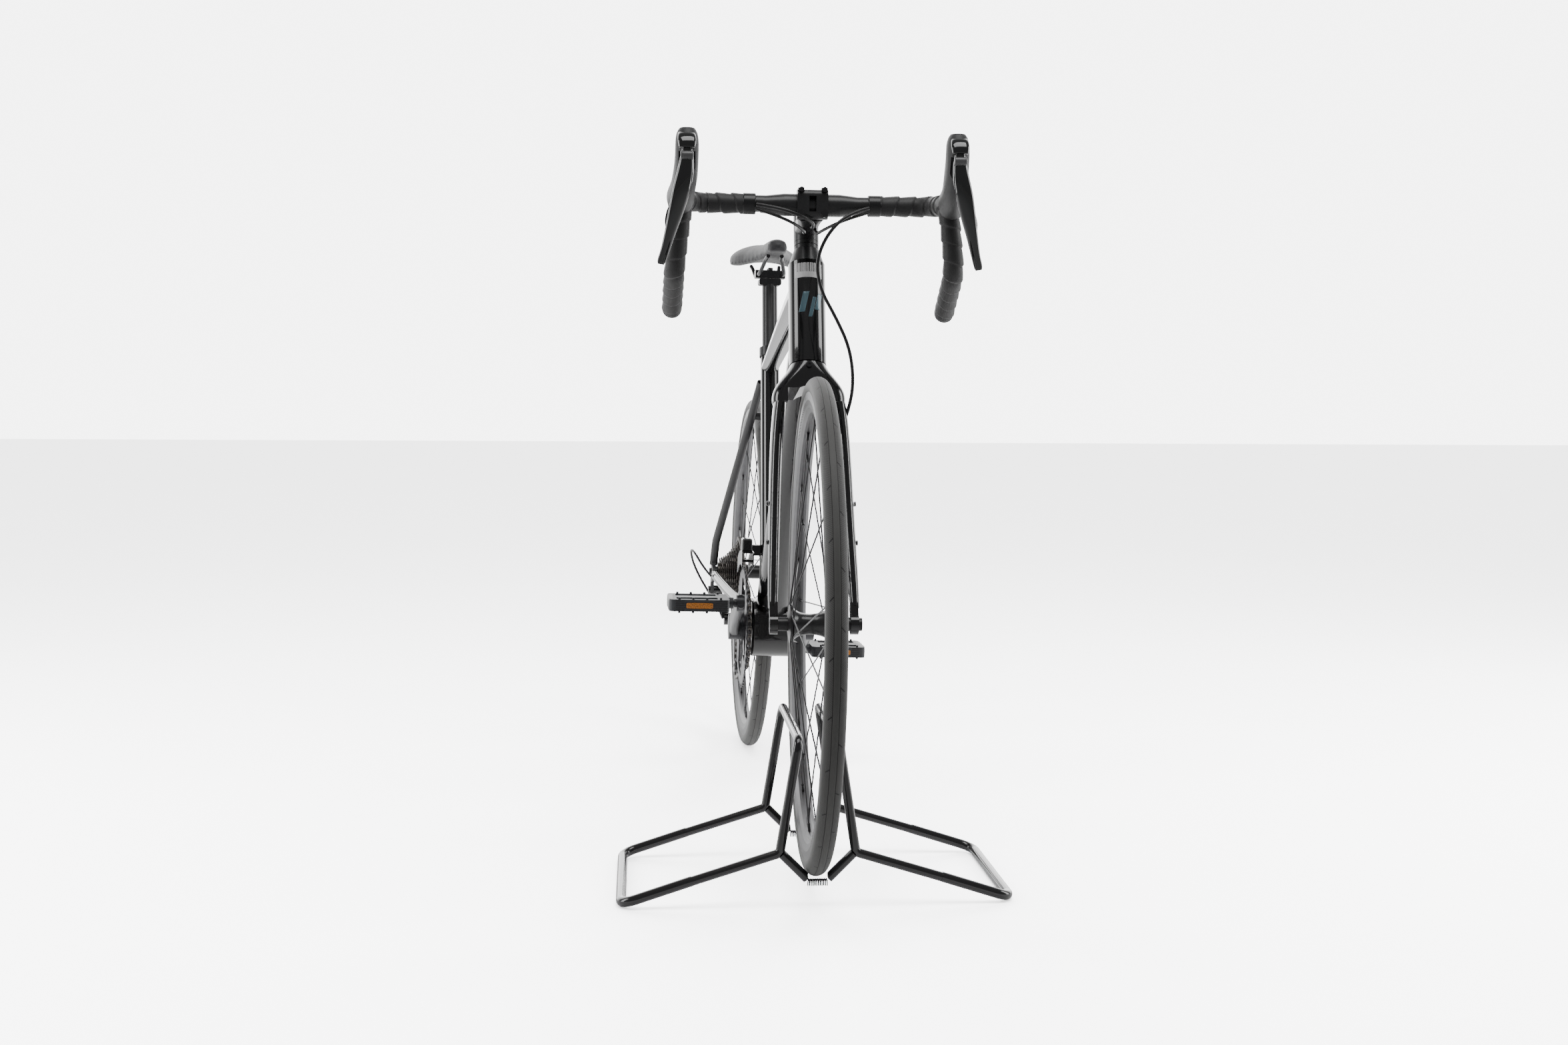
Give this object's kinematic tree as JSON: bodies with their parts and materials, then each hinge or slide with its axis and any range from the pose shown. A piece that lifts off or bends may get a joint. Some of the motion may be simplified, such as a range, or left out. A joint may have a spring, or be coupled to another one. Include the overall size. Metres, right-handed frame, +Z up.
{
  "type": "bicycle on stand",
  "caption": "Drop-bar road bicycle with disc brakes, its front wheel held upright in a sprung tube floor stand; wheels, cranks, steering and stand all move.",
  "frame": {"origin": "middle of the object's outline on the floor", "axes": "+Z up; +X the bicycle's left side; -Y the way the bicycle faces"},
  "size_m": [0.5366, 1.6766, 1.0254],
  "materials": {
    "frame_paint": "gloss black paint under clear coat",
    "stay_paint": "satin dark grey paint",
    "black_alloy": "satin black anodised",
    "rim_alloy": "satin grey anodised",
    "crank_alloy": "satin grey-black anodised",
    "steel_parts": "bright steel",
    "rails_steel": "satin black",
    "tyre_rubber": "matte rubber",
    "bar_tape": "matte wrapped tape",
    "hood_rubber": "matte rubber",
    "lever_gloss": "gloss black",
    "saddle_cover": "matte synthetic cover",
    "hose_plastic": "satin black jacket",
    "pedal_plastic": "moulded dark grey",
    "stand_paint": "gloss black",
    "spring_steel": "dark coil springs"
  },
  "bodies": {
    "frame": {"head_tube": "frame_paint", "top_tube": "frame_paint", "down_tube": "frame_paint", "seat_tube": "frame_paint", "bottom_bracket_shell": "frame_paint", "chain_stays": "frame_paint", "seat_stays": "stay_paint", "rear_dropouts": "stay_paint", "frame_hardware": "black_alloy", "rear_caliper": "black_alloy", "rear_cable_loop": "hose_plastic", "chain": "steel_parts"},
    "seatpost": {"seatpost": "black_alloy"},
    "saddle": {"saddle": "saddle_cover", "saddle_rails": "rails_steel"},
    "fork": {"fork_crown": "frame_paint", "fork_blades": "frame_paint", "front_axle": "black_alloy", "fork_bolts": "steel_parts", "front_caliper": "black_alloy", "headset": "black_alloy", "stem": "black_alloy", "stem_faceplate": "black_alloy", "stem_hardware": "steel_parts", "handlebar": "black_alloy", "bar_tape": "bar_tape", "lever_hoods": "hood_rubber", "front_brake_hose": "hose_plastic", "rear_brake_hose": "hose_plastic", "rear_shift_cable": "hose_plastic", "front_shift_cable": "hose_plastic"},
    "brake_lever_left": {"brake_lever_left": "lever_gloss"},
    "brake_lever_right": {"brake_lever_right": "lever_gloss"},
    "shift_paddle_left": {"shift_paddle_left": "lever_gloss"},
    "shift_paddle_right": {"shift_paddle_right": "lever_gloss"},
    "front_wheel": {"front_tyre": "tyre_rubber", "front_rim": "rim_alloy", "front_spokes": "steel_parts", "front_hub": "black_alloy", "front_rotor": "steel_parts"},
    "rear_wheel": {"rear_tyre": "tyre_rubber", "rear_rim": "rim_alloy", "rear_spokes": "steel_parts", "rear_hub": "black_alloy", "rear_rotor": "steel_parts"},
    "cassette": {"cassette": "steel_parts"},
    "crank": {"crank_right": "crank_alloy", "crank_left": "crank_alloy", "chainrings": "crank_alloy"},
    "pedal_right": {"pedal_right": "pedal_plastic"},
    "pedal_left": {"pedal_left": "pedal_plastic"},
    "front_derailleur": {"front_derailleur": "black_alloy"},
    "rear_derailleur": {"rear_derailleur_body": "black_alloy"},
    "derailleur_cage": {"rear_derailleur_cage": "steel_parts"},
    "guide_pulley": {"guide_pulley": "pedal_plastic"},
    "tension_pulley": {"tension_pulley": "pedal_plastic"},
    "stand": {"stand_springs": "spring_steel"},
    "stand_left": {"stand_left": "stand_paint"},
    "stand_right": {"stand_right": "stand_paint"}
  },
  "joints": [
    {"name": "steering", "type": "hinge", "parent": "frame", "child": "fork", "pos_m": [0.01241, -0.32667, 0.71881], "axis": [0.0214, 0.3338, 0.9424], "range_deg": [-42, 47]},
    {"name": "front_wheel_spin", "type": "hinge", "parent": "fork", "child": "front_wheel", "pos_m": [0.00229, -0.50063, 0.36294], "axis": [0.9991, -0.0428, -0.0075], "continuous": true},
    {"name": "rear_wheel_spin", "type": "hinge", "parent": "frame", "child": "rear_wheel", "pos_m": [0.00377, 0.50033, 0.33791], "axis": [0.9997, 0, -0.0227], "continuous": true},
    {"name": "crank_spin", "type": "hinge", "parent": "frame", "child": "crank", "pos_m": [0.0025, 0.09133, 0.28193], "axis": [0.9997, 0, -0.0227], "continuous": true, "deforming": ["chain"]},
    {"name": "cassette_spin", "type": "hinge", "parent": "frame", "child": "cassette", "pos_m": [0.00377, 0.50033, 0.33791], "axis": [0.9997, 0, -0.0227], "continuous": true},
    {"name": "right_pedal_spin", "type": "hinge", "parent": "crank", "child": "pedal_right", "pos_m": [-0.13213, -0.07077, 0.344], "axis": [0.9997, 0, -0.0227], "continuous": true},
    {"name": "left_pedal_spin", "type": "hinge", "parent": "crank", "child": "pedal_left", "pos_m": [0.13712, 0.25343, 0.21986], "axis": [0.9997, 0, -0.0227], "continuous": true},
    {"name": "left_brake_pull", "type": "hinge", "parent": "fork", "child": "brake_lever_left", "pos_m": [0.18484, -0.55408, 0.98259], "axis": [0.9991, -0.0428, -0.0075], "range_deg": [0, 14], "stiffness_Nm_per_rad": 1, "springref_deg": -5.73},
    {"name": "right_brake_pull", "type": "hinge", "parent": "fork", "child": "brake_lever_right", "pos_m": [-0.17483, -0.53869, 0.9853], "axis": [0.9991, -0.0428, -0.0075], "range_deg": [0, 14], "stiffness_Nm_per_rad": 1, "springref_deg": -5.73},
    {"name": "left_shift", "type": "hinge", "parent": "brake_lever_left", "child": "shift_paddle_left", "pos_m": [0.1898, -0.54931, 0.95056], "axis": [0.0428, 0.9991, -0.0006], "range_deg": [0, 10], "stiffness_Nm_per_rad": 0.3, "springref_deg": -2.86},
    {"name": "right_shift", "type": "hinge", "parent": "brake_lever_right", "child": "shift_paddle_right", "pos_m": [-0.17985, -0.53349, 0.95334], "axis": [-0.0428, -0.9991, 0.0006], "range_deg": [0, 10], "stiffness_Nm_per_rad": 0.3, "springref_deg": -2.86},
    {"name": "seatpost_height", "type": "slide", "parent": "frame", "child": "seatpost", "axis": [0.0216, 0.309, 0.9508], "range_m": [-0.08, 0.03]},
    {"name": "saddle_fore_aft", "type": "slide", "parent": "seatpost", "child": "saddle", "axis": [0, 1, 0], "range_m": [-0.015, 0.012]},
    {"name": "front_derailleur_shift", "type": "slide", "parent": "frame", "child": "front_derailleur", "axis": [-0.9997, 0, 0.0227], "range_m": [0, 0.0045], "stiffness_N_per_m": 800, "springref_m": -0.002},
    {"name": "rear_derailleur_swing", "type": "hinge", "parent": "frame", "child": "rear_derailleur", "pos_m": [0.00291, 0.51433, 0.29992], "axis": [0.9997, 0, -0.0227], "range_deg": [0, 8], "stiffness_Nm_per_rad": 2, "springref_deg": -5.73},
    {"name": "cage_swing", "type": "hinge", "parent": "rear_derailleur", "child": "derailleur_cage", "pos_m": [0.00161, 0.51133, 0.24294], "axis": [0.9997, 0, -0.0227], "range_deg": [-15, 35], "stiffness_Nm_per_rad": 0.5},
    {"name": "guide_pulley_spin", "type": "hinge", "parent": "derailleur_cage", "child": "guide_pulley", "pos_m": [0.00161, 0.51133, 0.24294], "axis": [0.9997, 0, -0.0227], "continuous": true},
    {"name": "tension_pulley_spin", "type": "hinge", "parent": "derailleur_cage", "child": "tension_pulley", "pos_m": [-0.00038, 0.48433, 0.15496], "axis": [0.9997, 0, -0.0227], "continuous": true},
    {"name": "stand_lift_off", "type": "slide", "parent": "fork", "child": "stand", "axis": [0, 0, -1], "range_m": [0, 0.35]},
    {"name": "stand_left_open", "type": "hinge", "parent": "stand", "child": "stand_left", "pos_m": [0.01245, -0.50094, 0.0262], "axis": [0.0209, 0.9998, 0], "range_deg": [0, 7], "stiffness_Nm_per_rad": 15, "springref_deg": -2.86, "deforming": ["stand_springs"]},
    {"name": "stand_right_open", "type": "hinge", "parent": "stand", "child": "stand_right", "pos_m": [-0.01375, -0.5004, 0.0262], "axis": [-0.0209, -0.9998, 0], "range_deg": [0, 7], "stiffness_Nm_per_rad": 15, "springref_deg": -2.86}
  ],
  "couplings": [
    {"joint": "cassette_spin", "follows": "crank_spin", "ratio": 1.0625},
    {"joint": "guide_pulley_spin", "follows": "crank_spin", "ratio": -3.0909},
    {"joint": "tension_pulley_spin", "follows": "crank_spin", "ratio": 3.0909}
  ]
}
